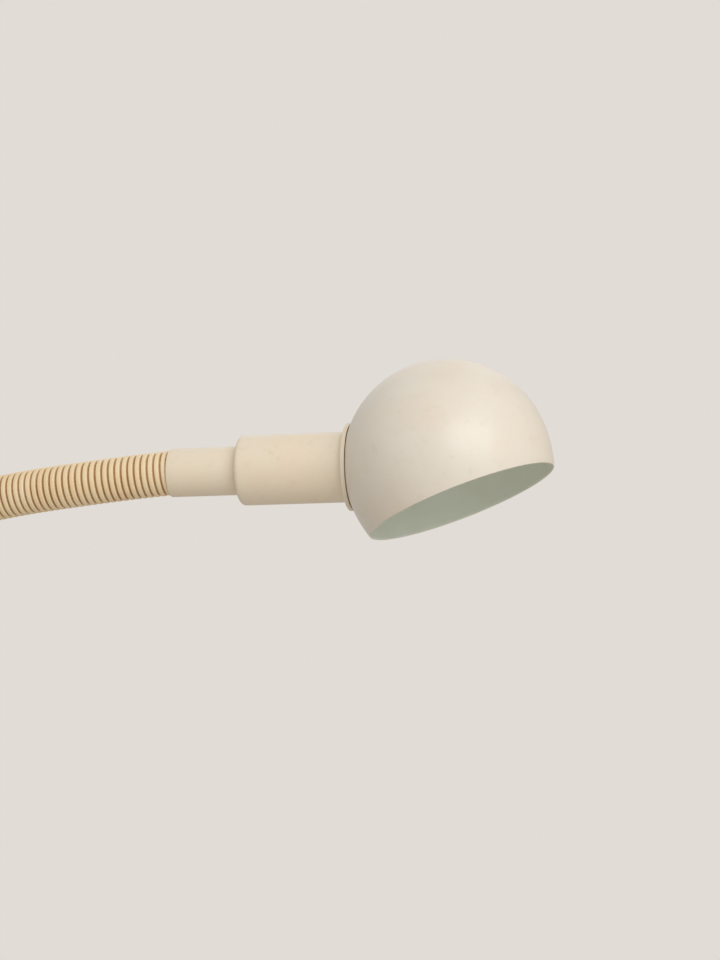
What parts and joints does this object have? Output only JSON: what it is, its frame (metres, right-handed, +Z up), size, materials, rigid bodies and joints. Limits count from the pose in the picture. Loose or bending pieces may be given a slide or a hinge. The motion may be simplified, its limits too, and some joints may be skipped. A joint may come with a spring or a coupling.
{
  "type": "adjustable arm floor lamp",
  "caption": "Floor reading lamp with a weighted round base, straight stem, ribbed flexible neck and an obliquely cut dome shade that turns on a cylindrical housing.",
  "frame": {"origin": "centre of the base on the floor", "axes": "+Z up; the neck leans and the lampholder housing reaches towards +X; the foot switch is on the +X side of the base and the cable gland on the -X side"},
  "size_m": [0.7705, 0.27, 1.3143],
  "materials": {
    "enamel": "satin cream enamel, slightly yellowed",
    "shade_enamel": "satin cream enamel outside, matt grey-white inside",
    "neck_plastic": "ribbed flexible plastic, yellowed, dirt in the grooves",
    "steel": "zinc plated",
    "brass": "plain turned brass",
    "cast_iron": "black primed casting",
    "pad": "dark ribbed rubber sheet",
    "dark_plastic": "black moulded plastic",
    "porcelain": "white moulded",
    "switch_plastic": "cream moulded",
    "flex": "white plastic flex",
    "bulb_glass": "frosted"
  },
  "bodies": {
    "stand": {"base_pad": "pad", "base_weight": "cast_iron", "base_cover": "enamel", "stem_collar": "enamel", "stem_tube": "enamel", "stem_plug": "steel", "stem_stud": "brass", "stem_washer": "steel", "stem_nut": "brass", "cable_gland": "dark_plastic", "cord_clamp": "dark_plastic", "terminal_block": "porcelain", "base_screws": "steel", "switch_body": "dark_plastic", "switch_bezel": "steel", "switch_spring": "steel", "switch_lead": "flex", "stem_flex": "flex", "stem_ferrule": "enamel", "ferrule_screw": "steel", "neck_cover_00": "neck_plastic", "neck_core_00": "steel"},
    "neck_01": {"neck_cover_01": "neck_plastic", "neck_core_01": "steel"},
    "neck_02": {"neck_cover_02": "neck_plastic", "neck_core_02": "steel"},
    "neck_03": {"neck_cover_03": "neck_plastic", "neck_core_03": "steel"},
    "neck_04": {"neck_cover_04": "neck_plastic", "neck_core_04": "steel"},
    "neck_05": {"neck_cover_05": "neck_plastic", "neck_core_05": "steel"},
    "neck_06": {"neck_cover_06": "neck_plastic", "neck_core_06": "steel"},
    "neck_07": {"neck_cover_07": "neck_plastic", "neck_core_07": "steel"},
    "neck_08": {"neck_cover_08": "neck_plastic", "neck_core_08": "steel"},
    "neck_09": {"neck_cover_09": "neck_plastic", "neck_core_09": "steel"},
    "neck_10": {"neck_cover_10": "neck_plastic", "neck_core_10": "steel"},
    "neck_11": {"neck_cover_11": "neck_plastic", "neck_core_11": "steel"},
    "head": {"head_sleeve": "enamel", "sleeve_screw": "steel", "housing": "enamel", "nipple": "brass", "nipple_nut": "brass", "lampholder": "porcelain", "lampholder_contacts": "brass", "head_flex": "flex", "friction_washer": "dark_plastic", "shade_ring": "porcelain", "bulb_cap": "steel", "bulb_glass": "bulb_glass", "neck_cover_12": "neck_plastic", "neck_core_12": "steel"},
    "shade": {"shade": "shade_enamel"},
    "button": {"switch_button": "switch_plastic"}
  },
  "joints": [
    {"name": "neck_tilt_1", "type": "hinge", "parent": "stand", "child": "neck_01", "pos_m": [0, 0, 0.9803], "axis": [0, 1, 0], "range_deg": [-30, 8]},
    {"name": "neck_swing_1", "type": "hinge", "parent": "neck_01", "child": "neck_02", "pos_m": [0.01117, 0, 1.02348], "axis": [-0.9681, 0, 0.2504], "range_deg": [-12, 12]},
    {"name": "neck_tilt_2", "type": "hinge", "parent": "neck_02", "child": "neck_03", "pos_m": [0.02233, 0, 1.06666], "axis": [0, 1, 0], "range_deg": [-30, 8]},
    {"name": "neck_tilt_3", "type": "hinge", "parent": "neck_03", "child": "neck_04", "pos_m": [0.04396, 0, 1.10567], "axis": [0, 1, 0], "range_deg": [-30, 8]},
    {"name": "neck_swing_2", "type": "hinge", "parent": "neck_04", "child": "neck_05", "pos_m": [0.07466, 0, 1.13802], "axis": [-0.7254, 0, 0.6884], "range_deg": [-12, 12]},
    {"name": "neck_tilt_4", "type": "hinge", "parent": "neck_05", "child": "neck_06", "pos_m": [0.10536, 0, 1.17037], "axis": [0, 1, 0], "range_deg": [-30, 8]},
    {"name": "neck_tilt_5", "type": "hinge", "parent": "neck_06", "child": "neck_07", "pos_m": [0.14318, 0, 1.194], "axis": [0, 1, 0], "range_deg": [-20, 10]},
    {"name": "neck_swing_3", "type": "hinge", "parent": "neck_07", "child": "neck_08", "pos_m": [0.18535, 0, 1.20852], "axis": [-0.3256, 0, 0.9455], "range_deg": [-12, 12]},
    {"name": "neck_tilt_6", "type": "hinge", "parent": "neck_08", "child": "neck_09", "pos_m": [0.22742, 0.00311, 1.22301], "axis": [-0.066, 0.9976, -0.0227], "range_deg": [-20, 10]},
    {"name": "neck_tilt_7", "type": "hinge", "parent": "neck_09", "child": "neck_10", "pos_m": [0.2712, 0.00619, 1.23095], "axis": [-0.066, 0.9976, -0.0227], "range_deg": [-20, 10]},
    {"name": "neck_swing_4", "type": "hinge", "parent": "neck_10", "child": "neck_11", "pos_m": [0.31538, 0.00923, 1.2362], "axis": [-0.1189, 0.0147, 0.9928], "range_deg": [-12, 12]},
    {"name": "neck_tilt_8", "type": "hinge", "parent": "neck_11", "child": "head", "pos_m": [0.35895, 0.01729, 1.24129], "axis": [-0.1777, 0.9834, -0.0359], "range_deg": [-20, 10]},
    {"name": "shade_swivel", "type": "hinge", "parent": "head", "child": "shade", "pos_m": [0.56324, 0.05438, 1.24635], "axis": [0.9838, 0.1784, 0.0169], "continuous": true},
    {"name": "switch_press", "type": "slide", "parent": "stand", "child": "button", "axis": [0, 0, -1], "range_m": [0, 0.003], "stiffness_N_per_m": 800, "springref_m": -0.004, "deforming": ["switch_spring"]}
  ],
  "couplings": [
    {"joint": "neck_tilt_2", "follows": "neck_tilt_1", "ratio": 1},
    {"joint": "neck_tilt_3", "follows": "neck_tilt_1", "ratio": 1},
    {"joint": "neck_tilt_4", "follows": "neck_tilt_1", "ratio": 1},
    {"joint": "neck_tilt_6", "follows": "neck_tilt_5", "ratio": 1},
    {"joint": "neck_tilt_7", "follows": "neck_tilt_5", "ratio": 1},
    {"joint": "neck_tilt_8", "follows": "neck_tilt_5", "ratio": 1},
    {"joint": "neck_swing_2", "follows": "neck_swing_1", "ratio": 1},
    {"joint": "neck_swing_3", "follows": "neck_swing_1", "ratio": 1},
    {"joint": "neck_swing_4", "follows": "neck_swing_1", "ratio": 1}
  ]
}
